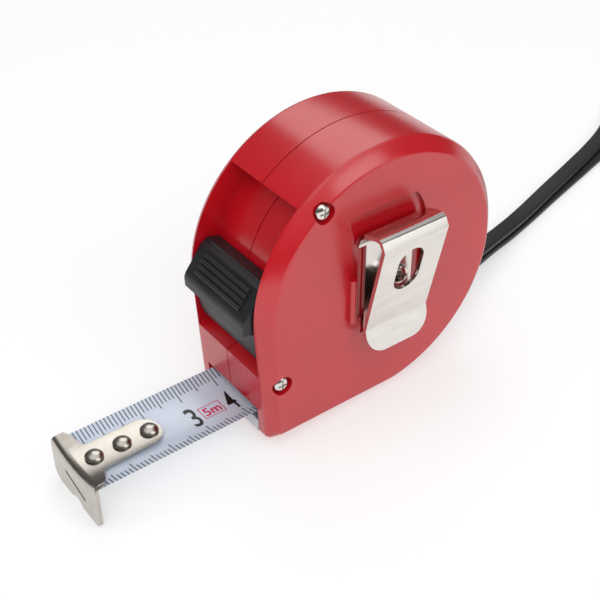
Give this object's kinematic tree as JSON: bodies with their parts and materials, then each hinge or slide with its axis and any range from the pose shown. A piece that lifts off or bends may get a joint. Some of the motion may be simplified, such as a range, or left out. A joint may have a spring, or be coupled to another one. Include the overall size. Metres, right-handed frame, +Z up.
{
  "type": "tape measure",
  "caption": "Pocket tape measure with a round red plastic case, sliding lock button, riveted end hook on a printed steel blade, folded steel belt clip and a flat wrist strap",
  "frame": {"origin": "On the flat base of the case, under the middle of the round body and on its middle plane", "axes": "+Z up from the base; +X towards the back of the case, so the blade comes out along -X; -Y is the belt clip side"},
  "size_m": [0.2483, 0.0719, 0.0722],
  "materials": {
    "red_shell": "glossy moulded",
    "black_plastic": "satin moulded",
    "strap_vinyl": "matte with a fine grain",
    "nickel_steel": "nickel plated, bright",
    "zinc_plate": "zinc plated",
    "blade_white": "white lacquer under a clear film",
    "spring_steel": "blued strip",
    "grey_plastic": "satin"
  },
  "bodies": {
    "case": {"clip_side_shell": "red_shell", "far_side_shell": "red_shell", "mouth_wear_plate": "zinc_plate", "upper_case_screw": "nickel_steel", "lower_case_screw": "nickel_steel", "spindle": "zinc_plate", "belt_clip": "nickel_steel", "clip_screw": "nickel_steel", "strap_pin": "zinc_plate", "wrist_strap": "strap_vinyl", "clip_side_liner": "grey_plastic", "far_side_liner": "grey_plastic", "blade_lead": "blade_white"},
    "lock": {"lock_button": "black_plastic"},
    "blade": {"blade_run": "blade_white", "hook_rivet_1": "nickel_steel", "hook_rivet_2": "nickel_steel", "hook_rivet_3": "nickel_steel"},
    "hook": {"end_hook": "nickel_steel"},
    "reel": {"reel_drum": "black_plastic", "spring_cover": "black_plastic", "blade_coil": "blade_white", "power_spring": "spring_steel"}
  },
  "joints": [
    {"name": "blade_slide", "type": "slide", "parent": "case", "child": "blade", "axis": [-1, 0, 0], "range_m": [-0.041, 0.04], "deforming": ["blade_lead"]},
    {"name": "hook_float", "type": "slide", "parent": "blade", "child": "hook", "axis": [-1, 0, 0], "range_m": [0, 0.0009]},
    {"name": "reel_spin", "type": "hinge", "parent": "case", "child": "reel", "pos_m": [0.003, 0, 0.0346], "axis": [0, 1, 0], "range_deg": [-90, 90]},
    {"name": "lock_slide", "type": "hinge", "parent": "case", "child": "lock", "pos_m": [0, 0, 0.0337], "axis": [0, 1, 0], "range_deg": [0, 15]}
  ],
  "couplings": [
    {"joint": "reel_spin", "follows": "blade_slide", "rad_per_m": 36.8}
  ]
}
